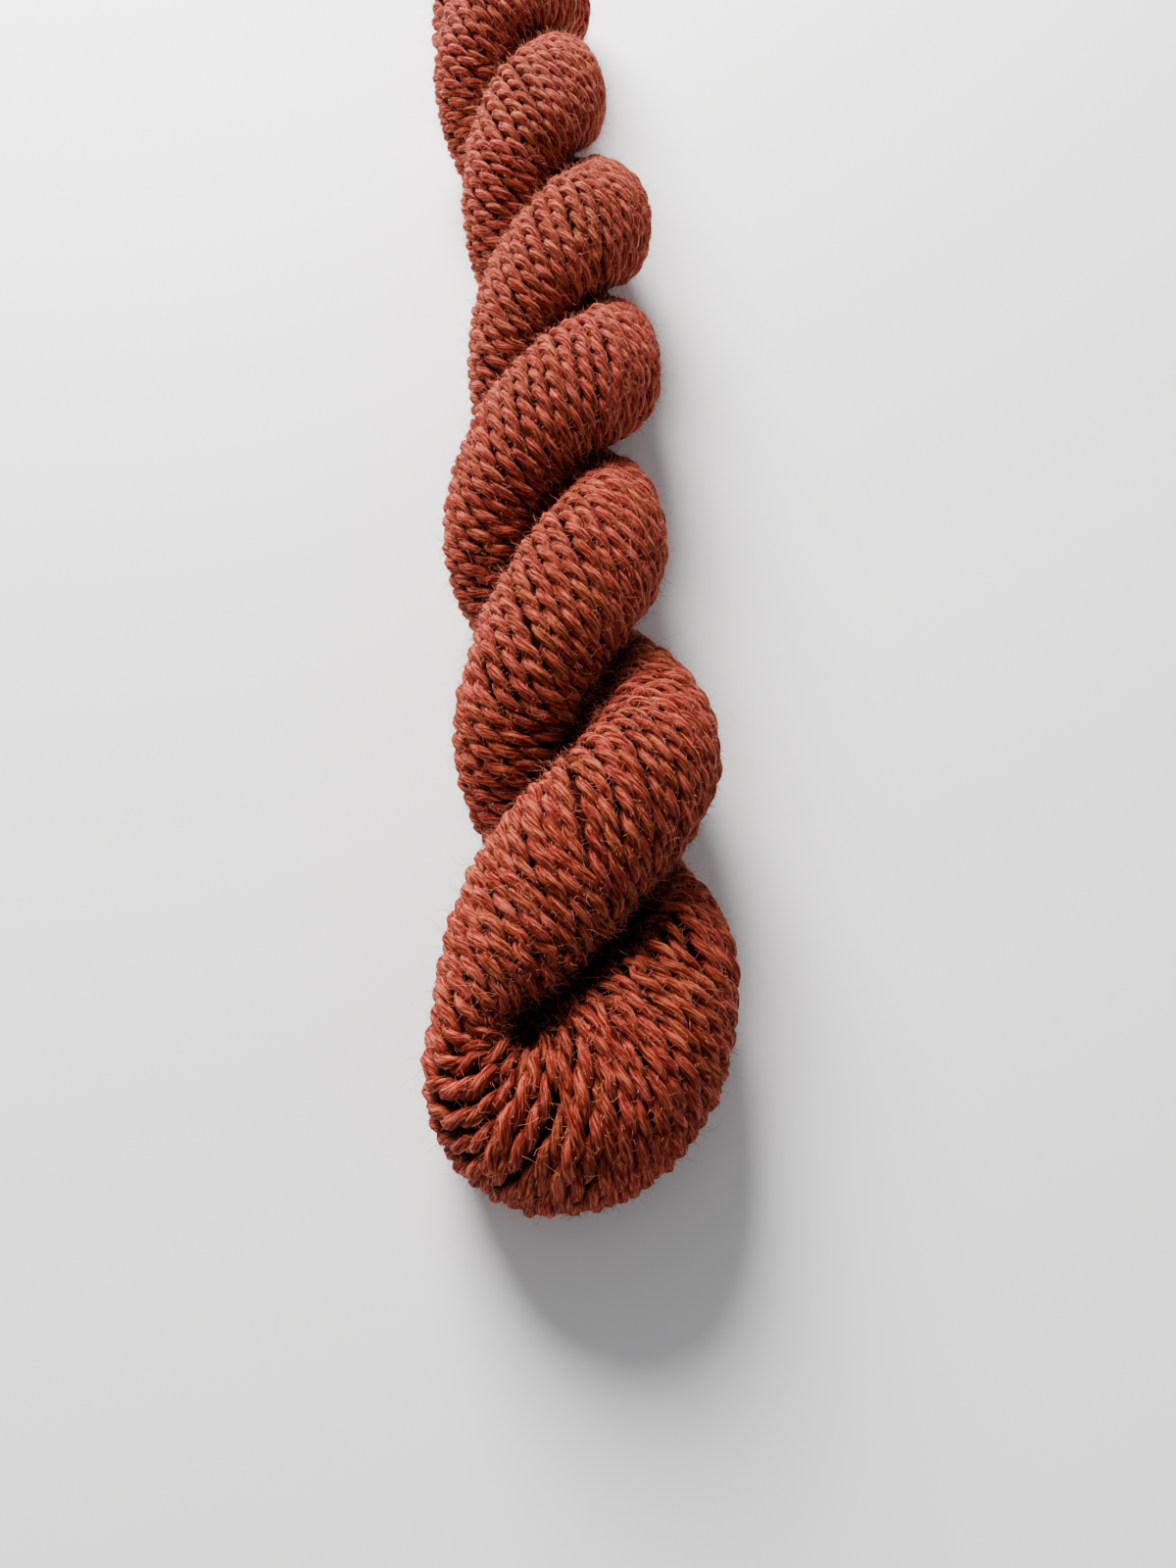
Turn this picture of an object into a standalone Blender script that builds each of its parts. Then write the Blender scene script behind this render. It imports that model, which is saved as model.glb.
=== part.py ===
# A hank of yarn: one skein twisted hard and folded back on itself, so that two thick plies
# lie round each other. It lies along Y on a flat surface at Z = 0, its rounded fold towards -Y.
# Metres, +Z up, origin under the middle of its box.

import math
from collections import namedtuple

import bmesh
import bpy
from mathutils import Vector

# Driving dimensions
AXIS_HEIGHT = 0.0232      # height of the middle line, which both plies wind round
PLY_RISE = 0.0122         # from that line up to the middle of the ply on top
PLY_OUTER = 0.0124        # half thickness of a ply on its outer side, at its top
PLY_PRESS = 1.2           # how far each ply presses past the middle line into the other
PLY_BREADTH = 0.0152      # half breadth of a ply along the hank's surface
FLOOR_PRESS = 0.0016      # how deep the surface presses the plies flat at most
CENTRE_SHIFT = Vector((0.0100, 0.0024, 0.0))  # puts the origin under the middle of the box

# The places where both plies lie side by side, from the near fold to the far one.
# Between two of them one ply passes over the other, and the plies take turns at that.
#   y           place along the hank
#   axis_x      how far the hank's middle line lies to the right
#   half_width  half the hank's width over both plies
Crossing = namedtuple("Crossing", "y axis_x half_width")
CROSSINGS = (
    Crossing(-0.1640, -0.0010, 0.0293),
    Crossing(-0.1060, -0.0002, 0.0286),
    Crossing(-0.0500, -0.0080, 0.0262),
    Crossing(0.0030, -0.0060, 0.0248),
    Crossing(0.0570, -0.0086, 0.0260),
    Crossing(0.1125, -0.0204, 0.0254),
    Crossing(0.1670, -0.0250, 0.0250),
)

# The two folds, where one ply turns back as the other round an open eye.
#   eye_x      how far the eye lies to the right of the hank's middle line
#   eye        half width of the eye
#   right, right_end, end, left_end, left
#              how far the hank reaches from the eye in these directions, seen from above
#   half_high  half height of the ply
#   centre_z   height of its middle
#   sway       how far it dips on one side of the eye and rises on the other
#   shoulder   how far the ply that dives under the other one bulges to the right there
#   fade       how far along the plies the fold's sizes fade out, in crossings
Fold = namedtuple("Fold", "eye_x eye right right_end end left_end left "
                          "half_high centre_z sway shoulder fade")
NEAR_FOLD = Fold(-0.0045, 0.0030, 0.0340, 0.0352, 0.0390, 0.0335, 0.0245,
                 0.0165, 0.0175, 0.0030, 0.0065, 0.8)
FAR_FOLD = Fold(0.0010, 0.0030, 0.0240, 0.0275, 0.0305, 0.0285, 0.0250,
                0.0155, 0.0170, 0.0030, -0.0030, 0.8)

EYE_FILL = (0.0060, 0.0075, 0.0070)  # half sizes of the turns that close each eye, deep down

STEPS_PER_LOBE = 15       # sections of a ply from one crossing to the next
STEPS_PER_FOLD = 12       # sections round a fold
SECTION_SIDES = 24        # points round a section
EYE_SIDES = 16            # sides of the filling of an eye
SMOOTHING_ROUNDS = 3      # how often the middle line of the ply is evened out
CUTTER_SIZE = 1.0         # side of the block that presses the underside flat

YARN_COLOUR = (0.35, 0.058, 0.025, 1.0)
YARN_ROUGHNESS = 0.9

# One section of a ply: its middle, the way out of the hank there, its half sizes, and how
# far it stands upright, from 0 where it lies square to the ply to 1 in a fold.
Station = namedtuple("Station", "centre outward outer inner breadth upright")


def blend_rows(values, turn):
    """Value at a place between the rows, on a smooth curve through them all."""
    last = len(values) - 1
    row = min(max(int(math.floor(turn)), 0), last - 1)
    t = turn - row
    before = values[row - 1] if row > 0 else 2 * values[0] - values[1]
    after = values[row + 2] if row + 2 <= last else 2 * values[last] - values[last - 1]
    start, end = values[row], values[row + 1]
    if t < 0 or t > 1:
        return start + (end - start) * t
    slope_in = (end - before) / 2
    slope_out = (after - start) / 2
    return ((2 * t ** 3 - 3 * t ** 2 + 1) * start + (t ** 3 - 2 * t ** 2 + t) * slope_in
            + (3 * t ** 2 - 2 * t ** 3) * end + (t ** 3 - t ** 2) * slope_out)


def crossing_at(turn):
    """Middle line and half width at a place counted in crossings from the near fold."""
    return Crossing(*(blend_rows(column, turn) for column in zip(*CROSSINGS)))


def mix(a, b, share):
    return a + (b - a) * share


def nearer_fold(turn):
    """The nearer fold, and how far it is away, from 0 to 1 where its sizes have faded out."""
    last = len(CROSSINGS) - 1
    fold, away = (NEAR_FOLD, turn) if turn < last / 2 else (FAR_FOLD, last - turn)
    return fold, min(away / fold.fade, 1.0)


def wound_station(turn, ply):
    """Section of ply 0, which starts at the left, or ply 1, which starts at the right."""
    angle = math.pi * (turn - 0.5 + ply)
    outward = Vector((math.sin(angle), 0, math.cos(angle)))
    place = crossing_at(turn)
    fold, away = nearer_fold(turn)
    share = (1 - away) ** 2 * (1 + 2 * away)
    fold_reach = fold.right if outward.x > 0 else fold.left
    outer_share = PLY_OUTER / (PLY_OUTER + PLY_RISE)
    outer = mix(place.half_width * outer_share, (fold_reach - fold.eye) / 2, share)
    offset = mix(place.half_width, fold_reach, share) - outer
    centre = Vector((place.axis_x + fold.eye_x * share + outward.x * offset, place.y,
                     mix(AXIS_HEIGHT, fold.centre_z, share) + outward.z * PLY_RISE))
    if outward.z < 0:
        centre.x += fold.shoulder * math.sin(math.pi * away)
    side_share = outward.x ** 2
    inner = mix(PLY_RISE, offset, side_share)
    return Station(centre, outward, mix(PLY_OUTER, outer, side_share),
                   mix(inner * PLY_PRESS, inner - fold.eye, share),
                   mix(PLY_BREADTH, fold.half_high, share), share)


def fold_stations(fold, turn, towards, first_side):
    """Sections round a fold, from its first side (1 right, -1 left) to its other one."""
    place = crossing_at(turn)
    reaches = (fold.right, fold.right_end, fold.end, fold.left_end, fold.left)[::first_side]
    stations = []
    for step in range(1, STEPS_PER_FOLD):
        share = step / STEPS_PER_FOLD
        angle = math.pi * share
        outward = Vector((first_side * math.cos(angle), towards * math.sin(angle), 0))
        half_thick = (blend_rows(reaches, share * (len(reaches) - 1)) - fold.eye) / 2
        centre = Vector((place.axis_x + fold.eye_x, place.y, fold.centre_z))
        centre += outward * (fold.eye + half_thick)
        centre.z -= first_side * towards * fold.sway * math.sin(2 * angle)
        stations.append(Station(centre, outward, half_thick, half_thick, fold.half_high, 1.0))
    return stations


def ply_loop():
    """All sections in order: near fold, one ply, far fold, and the other ply back."""
    last = len(CROSSINGS) - 1
    turns = [step / STEPS_PER_LOBE for step in range(last * STEPS_PER_LOBE + 1)]
    loop = fold_stations(NEAR_FOLD, 0, -1, 1)
    loop += [wound_station(turn, 0) for turn in turns]
    loop += fold_stations(FAR_FOLD, last, 1, -1 if last % 2 == 0 else 1)
    loop += [wound_station(turn, 1) for turn in reversed(turns)]
    return loop


def evened(loop):
    """The same loop with its bends and its fullness evened out."""
    for _ in range(SMOOTHING_ROUNDS):
        smooth = []
        for index, station in enumerate(loop):
            before = loop[index - 1]
            after = loop[(index + 1) % len(loop)]
            fields = [(a + 2 * b + c) / 4 for a, b, c in zip(before, station, after)]
            smooth.append(Station(*fields)._replace(outward=fields[1].normalized()))
        loop = smooth
    return loop


def section_points(loop, index):
    """Points round one section: half an ellipse outwards, half one towards the other ply."""
    station = loop[index]
    along = loop[(index + 1) % len(loop)].centre - loop[index - 1].centre
    along.z *= 1 - station.upright
    sideways = along.cross(station.outward).normalized()
    points = []
    for side in range(SECTION_SIDES):
        angle = 2 * math.pi * side / SECTION_SIDES
        depth = station.outer if math.cos(angle) > 0 else station.inner
        points.append(station.centre + station.outward * depth * math.cos(angle)
                      + sideways * station.breadth * math.sin(angle))
    return points


def rested(loop):
    """The same loop, lifted wherever it would sink deeper into the surface than it gives way."""
    lowest = [min(point.z for point in section_points(loop, index)) for index in range(len(loop))]
    lifts = [max(-FLOOR_PRESS - low, 0) for low in lowest]
    return [station._replace(centre=station.centre + Vector((0, 0, lift)))
            for station, lift in zip(loop, lifts)]


def loft_loop(loop):
    """Closed tube through all sections."""
    mesh = bmesh.new()
    rings = [[mesh.verts.new(point) for point in section_points(loop, index)]
             for index in range(len(loop))]
    for ring, next_ring in zip(rings, rings[1:] + rings[:1]):
        for side in range(SECTION_SIDES):
            following = (side + 1) % SECTION_SIDES
            mesh.faces.new((ring[side], ring[following], next_ring[following], next_ring[side]))
    bmesh.ops.recalc_face_normals(mesh, faces=mesh.faces)
    return mesh


def add_eye_fill(mesh, fold, turn):
    """The innermost turns of the skein, which close the eye of a fold below its rim."""
    place = crossing_at(turn)
    middle = Vector((place.axis_x + fold.eye_x, place.y, fold.centre_z))
    fill = bmesh.ops.create_uvsphere(mesh, u_segments=EYE_SIDES, v_segments=EYE_SIDES // 2, radius=1.0)
    bmesh.ops.scale(mesh, verts=fill["verts"], vec=EYE_FILL)
    bmesh.ops.translate(mesh, verts=fill["verts"], vec=middle)


def add_object(name, mesh, collection):
    data = bpy.data.meshes.new(name)
    mesh.to_mesh(data)
    mesh.free()
    thing = bpy.data.objects.new(name, data)
    collection.objects.link(thing)
    return thing


def add_floor_cutter(collection):
    """Block under the surface. What it takes off leaves the flat spots that the hank lies on."""
    mesh = bmesh.new()
    bmesh.ops.create_cube(mesh, size=CUTTER_SIZE)
    bmesh.ops.translate(mesh, verts=mesh.verts, vec=(0, 0, -CUTTER_SIZE / 2))
    cutter = add_object("floor_cutter", mesh, collection)
    cutter.display_type = 'WIRE'
    cutter.hide_render = True
    return cutter


def yarn_material():
    material = bpy.data.materials.new("yarn")
    material.use_nodes = True
    shader = material.node_tree.nodes["Principled BSDF"]
    shader.inputs["Base Color"].default_value = YARN_COLOUR
    shader.inputs["Roughness"].default_value = YARN_ROUGHNESS
    shader.inputs["Metallic"].default_value = 0.0
    return material


def build_hank(parts, helpers):
    mesh = loft_loop(rested(evened(ply_loop())))
    add_eye_fill(mesh, NEAR_FOLD, 0)
    add_eye_fill(mesh, FAR_FOLD, len(CROSSINGS) - 1)
    bmesh.ops.triangulate(mesh, faces=mesh.faces)
    bmesh.ops.translate(mesh, verts=mesh.verts, vec=CENTRE_SHIFT)
    hank = add_object("hank", mesh, parts)
    cut = hank.modifiers.new("pressed_flat", 'BOOLEAN')
    cut.operation = 'DIFFERENCE'
    cut.solver = 'EXACT'
    cut.use_self = True
    cut.object = add_floor_cutter(helpers)
    hank.data.materials.append(yarn_material())
    hank.data.shade_smooth()
    return hank


def main():
    for thing in list(bpy.data.objects):
        bpy.data.objects.remove(thing, do_unlink=True)
    parts = bpy.data.collections.new("hank_of_yarn")
    helpers = bpy.data.collections.new("cutters")
    bpy.context.scene.collection.children.link(parts)
    bpy.context.scene.collection.children.link(helpers)
    build_hank(parts, helpers)


main()
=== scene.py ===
import math

import bmesh
import bpy
import numpy as np
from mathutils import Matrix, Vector
from mathutils.bvhtree import BVHTree


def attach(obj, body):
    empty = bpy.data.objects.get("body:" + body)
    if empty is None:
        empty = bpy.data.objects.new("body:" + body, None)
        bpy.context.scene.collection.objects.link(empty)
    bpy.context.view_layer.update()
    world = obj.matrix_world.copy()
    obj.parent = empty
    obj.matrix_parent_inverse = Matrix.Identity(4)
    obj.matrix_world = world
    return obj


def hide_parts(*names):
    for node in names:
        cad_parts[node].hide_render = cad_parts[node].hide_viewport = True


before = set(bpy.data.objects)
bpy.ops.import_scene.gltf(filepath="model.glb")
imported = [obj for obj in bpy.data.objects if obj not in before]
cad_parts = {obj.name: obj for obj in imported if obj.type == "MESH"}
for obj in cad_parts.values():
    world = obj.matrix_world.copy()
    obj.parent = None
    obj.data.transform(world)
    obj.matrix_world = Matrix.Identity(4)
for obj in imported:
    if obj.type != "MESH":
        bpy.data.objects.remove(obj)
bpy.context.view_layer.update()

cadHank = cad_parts["hank"]


# the form of the hank, with the same values as its solid
hankForm = {
    "axisHeight": 0.0232,      # middle line that both plies wind round
    "plyRise": 0.0122,         # from there up to the middle of the ply on top
    "plyOuter": 0.0124,        # half thickness of a ply on its outer side
    "plyPress": 1.2,           # how far a ply presses past the middle line
    "plyBreadth": 0.0152,      # half breadth of a ply
    "floorPress": 0.0016,      # how deep the surface presses the plies flat
    "centreShift": (0.0100, 0.0024, 0.0),
    "stepsPerLobe": 15,        # sections from one crossing to the next
    "stepsPerFold": 12,
    "sectionSides": 24,
    "smoothingRounds": 3,
    "finer": 6,                # table rows per section
}

# where both plies lie side by side: y, x of the middle line, half width
crossings = (
    (-0.1640, -0.0010, 0.0293),
    (-0.1060, -0.0002, 0.0286),
    (-0.0500, -0.0080, 0.0262),
    (0.0030, -0.0060, 0.0248),
    (0.0570, -0.0086, 0.0260),
    (0.1125, -0.0204, 0.0254),
    (0.1670, -0.0250, 0.0250),
)
lastCrossing = len(crossings) - 1

# the folds turn one ply back as the other, and reach this far from their eye, right to left
nearFold = {"eyeX": -0.0045, "eye": 0.0030, "reaches": (0.0340, 0.0352, 0.0390, 0.0335, 0.0245),
            "halfHigh": 0.0165, "centreZ": 0.0175, "sway": 0.0030, "shoulder": 0.0065, "fade": 0.8}
farFold = {"eyeX": 0.0010, "eye": 0.0030, "reaches": (0.0240, 0.0275, 0.0305, 0.0285, 0.0250),
           "halfHigh": 0.0155, "centreZ": 0.0170, "sway": 0.0030, "shoulder": -0.0030, "fade": 0.8}

# a section of a ply is one row: its middle, the way out of the hank, its half sizes, how far
# it stands upright, and the way across it
centreCols, outwardCols, sidewaysCols = slice(0, 3), slice(3, 6), slice(10, 13)
outerCol, innerCol, breadthCol, uprightCol = 6, 7, 8, 9


def mix(a, b, share):
    return a + (b - a) * share


def unit(vectors):
    return vectors / np.maximum(np.linalg.norm(vectors, axis=-1, keepdims=True), 1e-12)


def summed(steps):
    return np.concatenate([[0], np.cumsum(steps)])


def smoothStep(values):
    t = np.clip(values, 0, 1)
    return t * t * (3 - 2 * t)


def curveBetween(start, end, slopeIn, slopeOut, t):
    return ((2 * t ** 3 - 3 * t ** 2 + 1) * start + (t ** 3 - 2 * t ** 2 + t) * slopeIn
            + (3 * t ** 2 - 2 * t ** 3) * end + (t ** 3 - t ** 2) * slopeOut)


def blendRows(values, turn):
    # value at a place between the rows, on a smooth curve through them all
    row = min(int(turn), len(values) - 2)
    before = values[row - 1] if row > 0 else 2 * values[0] - values[1]
    after = values[row + 2] if row + 2 < len(values) else 2 * values[-1] - values[-2]
    start, end = values[row], values[row + 1]
    return curveBetween(start, end, (end - before) / 2, (after - start) / 2, turn - row)


def crossingAt(turn):
    return [blendRows(column, turn) for column in zip(*crossings)]


def woundSection(turn, ply):
    angle = math.pi * (turn - 0.5 + ply)
    outX, outZ = math.sin(angle), math.cos(angle)
    y, axisX, halfWidth = crossingAt(turn)
    isNear = turn < lastCrossing / 2
    fold, away = (nearFold, turn) if isNear else (farFold, lastCrossing - turn)
    away = min(away / fold["fade"], 1.0)
    share = (1 - away) ** 2 * (1 + 2 * away)
    reach = fold["reaches"][0] if outX > 0 else fold["reaches"][-1]
    rise, thick = hankForm["plyRise"], hankForm["plyOuter"]
    outer = mix(halfWidth * thick / (thick + rise), (reach - fold["eye"]) / 2, share)
    offset = mix(halfWidth, reach, share) - outer
    x = axisX + fold["eyeX"] * share + outX * offset
    if outZ < 0:
        x += fold["shoulder"] * math.sin(math.pi * away)
    z = mix(hankForm["axisHeight"], fold["centreZ"], share) + outZ * rise
    inner = mix(rise, offset, outX ** 2)
    return [x, y, z, outX, 0.0, outZ, mix(thick, outer, outX ** 2),
            mix(inner * hankForm["plyPress"], inner - fold["eye"], share),
            mix(hankForm["plyBreadth"], fold["halfHigh"], share), share]


def foldSections(fold, turn, towards, firstSide):
    y, axisX, _ = crossingAt(turn)
    reaches = fold["reaches"][::firstSide]
    rows = []
    for step in range(1, hankForm["stepsPerFold"]):
        share = step / hankForm["stepsPerFold"]
        angle = math.pi * share
        outX, outY = firstSide * math.cos(angle), towards * math.sin(angle)
        half = (blendRows(reaches, share * (len(reaches) - 1)) - fold["eye"]) / 2
        reach = fold["eye"] + half
        z = fold["centreZ"] - firstSide * towards * fold["sway"] * math.sin(2 * angle)
        rows.append([axisX + fold["eyeX"] + outX * reach, y + outY * reach, z,
                     outX, outY, 0.0, half, half, fold["halfHigh"], 1.0])
    return rows


# the turns reach further into the folds' eyes than the smooth solid does, and close the near
# one to a slit
slit = {
    "from": (-0.0038, -0.1662),
    "to": (0.0184, -0.1405),
    # share of the way along the slit that the ply reaches at these places past the fold's middle
    "places": (-0.060, -0.045, -0.028, -0.014, 0.0, 0.012, 0.020, 0.028, 0.045, 0.060),
    "shares": (1.0, 0.85, 0.56, 0.42, 0.24, 0.07, 0.0, 0.05, 0.30, 0.50),
    # how far the ply stays off the slit's middle, at these shares of its length
    "shortShares": (0.0, 0.25, 0.6, 1.0),
    "short": (0.0014, 0.0038, 0.0040, 0.0034),
    "farFill": 0.0040,         # how much further the turns reach into the far eye
    "square": 3.2,             # how squarish the plies' inner sides are at a fold, 2 is round
    "squareSteps": 400,
}


def closeTheEyes(rows):
    centres = rows[:, centreCols]
    lengths = np.linalg.norm(np.roll(centres, -1, axis=0) - centres, axis=1)
    ways = summed(lengths)[:-1]
    pastFold = ways - ways[np.argmin(centres[:, 1])]
    pastFold = np.where(pastFold > lengths.sum() / 2, pastFold - lengths.sum(), pastFold)
    start, end = np.array(slit["from"]), np.array(slit["to"])
    along = np.interp(pastFold, slit["places"], slit["shares"])
    for row, share in zip(rows, along):
        weight = row[uprightCol] * (1 - row[outwardCols][2] ** 2)
        if row[1] > 0:
            row[innerCol] += slit["farFill"] * weight
            continue
        outerEdge = row[centreCols] + row[outwardCols] * row[outerCol]
        innerEdge = row[centreCols] - row[outwardCols] * row[innerCol]
        innerEdge[0:2] = mix(innerEdge[0:2], start + (end - start) * share, weight)
        reach = np.linalg.norm(outerEdge - innerEdge)
        row[outwardCols] = (outerEdge - innerEdge) / reach
        row[centreCols] = outerEdge - row[outwardCols] * row[outerCol]
        short = np.interp(share, slit["shortShares"], slit["short"])
        row[innerCol] = reach - row[outerCol] - short * weight


def sidewaysOf(rows):
    centres = rows[:, centreCols]
    along = np.roll(centres, -1, axis=0) - np.roll(centres, 1, axis=0)
    along[:, 2] *= 1 - rows[:, uprightCol]
    return unit(np.cross(along, rows[:, outwardCols]))


def plySections():
    # near fold, one ply, far fold, and the other ply back
    steps = hankForm["stepsPerLobe"]
    turns = [step / steps for step in range(lastCrossing * steps + 1)]
    rows = foldSections(nearFold, 0, -1, 1)
    rows += [woundSection(turn, 0) for turn in turns]
    rows += foldSections(farFold, lastCrossing, 1, -1 if lastCrossing % 2 == 0 else 1)
    rows += [woundSection(turn, 1) for turn in reversed(turns)]
    rows = np.array(rows)
    for _ in range(hankForm["smoothingRounds"]):
        rows = (np.roll(rows, 1, axis=0) + 2 * rows + np.roll(rows, -1, axis=0)) / 4
        rows[:, outwardCols] = unit(rows[:, outwardCols])

    # sections that would sink too deep into the surface are lifted
    angles = np.linspace(0, 2 * math.pi, hankForm["sectionSides"] + 1)[None, :]
    depth = np.where(np.cos(angles) > 0, rows[:, [outerCol]], rows[:, [innerCol]])
    heights = (rows[:, centreCols][:, 2:] + rows[:, outwardCols][:, 2:] * depth * np.cos(angles)
               + sidewaysOf(rows)[:, 2:] * rows[:, [breadthCol]] * np.sin(angles))
    rows[:, 2] += np.maximum(-hankForm["floorPress"] - heights.min(axis=1), 0)
    rows[:, centreCols] += hankForm["centreShift"]
    closeTheEyes(rows)
    return np.hstack([rows, sidewaysOf(rows)])


def withUnits(rows):
    for columns in (outwardCols, sidewaysCols):
        rows[:, columns] = unit(rows[:, columns])
    return rows


def finerRows(rows, times):
    before, after, later = (np.roll(rows, shift, axis=0) for shift in (1, -1, -2))
    parts = [curveBetween(rows, after, (after - before) / 2, (later - rows) / 2, t)
             for t in np.arange(times) / times]
    return withUnits(np.stack(parts, axis=1).reshape(-1, rows.shape[1]))


plyRows = finerRows(plySections(), hankForm["finer"])
plySteps = np.linalg.norm(np.roll(plyRows, -1, axis=0)[:, centreCols]
                          - plyRows[:, centreCols], axis=1)
loopLength = float(plySteps.sum())
# the way along the loop starts in the middle of the far fold
farRow = int(np.argmax(plyRows[:, 1]))
plyRows = np.roll(plyRows, -farRow, axis=0)
plySteps = np.roll(plySteps, -farRow)
plyWays = summed(plySteps)[:-1]
print("ply loop", round(loopLength, 4), "m,", len(plyRows), "rows")


def plyAt(ways):
    columns = [np.interp(ways, plyWays, plyRows[:, column], period=loopLength)
               for column in range(plyRows.shape[1])]
    return withUnits(np.stack(columns, axis=1))


# the yarn is one thread of two twisted strands, wound all the way round again and again
yarn = {
    "laps": 15,                # times that it goes round the loop
    "winding": 134.0,          # radians round the ply per metre of ply
    # share of that winding at these places past the middle of the near fold
    "foldWays": (-0.090, -0.060, -0.038, -0.020, 0.0, 0.012, 0.025, 0.040, 0.056, 0.080, 0.110),
    "foldWinding": (1.0, 1.08, 1.18, 1.25, 1.25, 1.05, 0.80, 0.82, 1.06, 1.14, 1.0),
    "lapEase": 0.02,           # near the start of a lap the turns wander less together
    "step": 0.00064,           # along the ply
    "thick": 0.0035,           # over both strands
    "foldThick": 0.08,         # and so much thicker where it lies loose at a fold
    "foldThin": 0.17,          # more so on its outside, and less in its eye
    "girths": (0.96, 1.12),    # least and most share of its thickness, as the room allows
    "foldLess": (0.06, 0.15),  # and so much less of each at a fold
    "sink": 0.0016,            # middle of the yarn under the surface of the hank
    "twistPitch": 0.0112,      # length of one turn of its two strands
    "foldPitch": 0.04,         # and so much longer at a fold
    "strandRadius": 0.00121,
    "strandOffset": 0.00068,
    "needs": 0.95,             # share of its thickness that a turn needs as room
    "giveWay": 0.08,           # how gradually a turn gives way, as a share of that
    "crowdSink": 0.0019,       # how deep a turn sinks that finds no room
    "crowdMore": 0.0040,       # and how much deeper where hardly any is left
    "crowdFrom": 0.25,         # from this share of missing room on
    "spread": (0.40, 0.22, 0.09),  # how far its first, second and third neighbours move to it
    "leastLeft": 0.45,         # share of the turns that stay up at least
    "creaseSink": 0.0013,      # how deep the turns dive where they meet the other ply
    "creaseReach": 0.0045,     # and how far from it that starts
    "floorShare": 0.52,        # lowest place of its middle, in thicknesses
    "floorSoft": 0.0008,       # how softly it comes to rest on the surface
    "strandSoft": 0.0002,      # and each strand of it
    "sunkShade": 0.7,           # how much painted shade a sunk turn gets
    "sunkFrom": 0.0006,        # from this depth on
    "sunkOver": 0.0030,        # fully so much deeper
    "caveShade": 0.97,          # how much painted shade the yarn gets where it sees no sky
    "caveOpen": 0.80,          # share of the sky from which on it isn't darkened
    "hideDepth": 0.0046,       # deeper turns don't show
    "hideDark": 0.030,         # nor do those that see less of the sky
    "showMore": 3,             # points added at both ends of a stretch that shows
    "shortest": 6,             # stretches of so few points are left out
    "ringSides": 7,
    "pieces": 4,
}

# how the yarn varies: how much, metres from one change to the next, and the seed
yarnDrift = {
    "sharedWander": (0.09, 0.011, 10),     # radians round the ply, all turns together
    "wander": (0.045, 0.008, 11),          # and each for itself
    "lift": (0.00045, 0.006, 12),          # up and down
    "fineLift": (0.0002, 0.0021, 13),
    "twist": (0.10, 0.02, 21),             # share of the twist's pitch
    "girth": (0.10, 0.011, 22),            # share of the yarn's thickness
    "strandGirth": (0.06, 0.007, 23),      # share of each strand's thickness
    "shade": (0.6, 0.010, 25),             # colour of each strand
}


def drift(name, places, strand=0):
    # smooth random values along the yarn
    size, spacing, seed = yarnDrift[name]
    chance = np.random.default_rng(seed + strand)
    knots = chance.normal(0, 0.5, int(places.max() / spacing) + 4)
    spot = places / spacing
    row = np.floor(spot).astype(int)
    t = smoothStep(spot - row)
    return size * (knots[row] * (1 - t) + knots[row + 1] * t)


def squareTable():
    # a quarter of a squarish ring in even steps: inward share and height share
    angles = np.linspace(0, math.pi / 2, slit["squareSteps"])
    inward = np.sin(angles) ** (2 / slit["square"])
    height = np.cos(angles) ** (2 / slit["square"])
    lengths = summed(np.hypot(np.diff(inward), np.diff(height)))
    return lengths / lengths[-1], inward, height


def ringAround(angle, share):
    # place and facing round a section of the ply; share makes its inner half squarish
    cosA, sinA = np.cos(angle), np.sin(angle)
    places, inward, height = squareTable()
    quarter = np.arccos(np.clip(-cosA, 0, 1)) / (math.pi / 2)
    isInner = (cosA < 0) * share
    power = slit["square"] - 1
    inSquare = np.interp(1 - quarter, places, inward)
    upSquare = np.interp(1 - quarter, places, height)
    side = np.sign(sinA)
    out = cosA * (1 - isInner) - inSquare * isInner
    up = sinA * (1 - isInner) + side * upSquare * isInner
    outFacing = cosA * (1 - isInner) - inSquare ** power * isInner
    upFacing = sinA * (1 - isInner) + side * upSquare ** power * isInner
    return out[:, None], up[:, None], outFacing[:, None], upFacing[:, None]


def surfaceAt(rows, angle, sink=0.0):
    # places on the plies, which way they face, and how much room there is for each turn
    outward, sideways = rows[:, outwardCols], rows[:, sidewaysCols]
    out, up, outFacing, upFacing = ringAround(angle, rows[:, uprightCol])
    deep = np.where(out[:, 0] > 0, rows[:, outerCol], rows[:, innerCol])[:, None]
    broad = rows[:, [breadthCol]]
    sunk = np.broadcast_to(sink, len(rows))[:, None]
    points = (rows[:, centreCols] + outward * (deep - sunk) * out
              + sideways * (broad - sunk) * up)
    facing = unit(outward * outFacing / deep + sideways * upFacing / broad)
    across = (sideways * broad * np.cos(angle)[:, None]
              - outward * deep * np.sin(angle)[:, None])
    room = np.linalg.norm(np.cross(unit(np.gradient(points, axis=0)), across), axis=1)
    return points, facing, room * 2 * math.pi / yarn["laps"]


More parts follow.
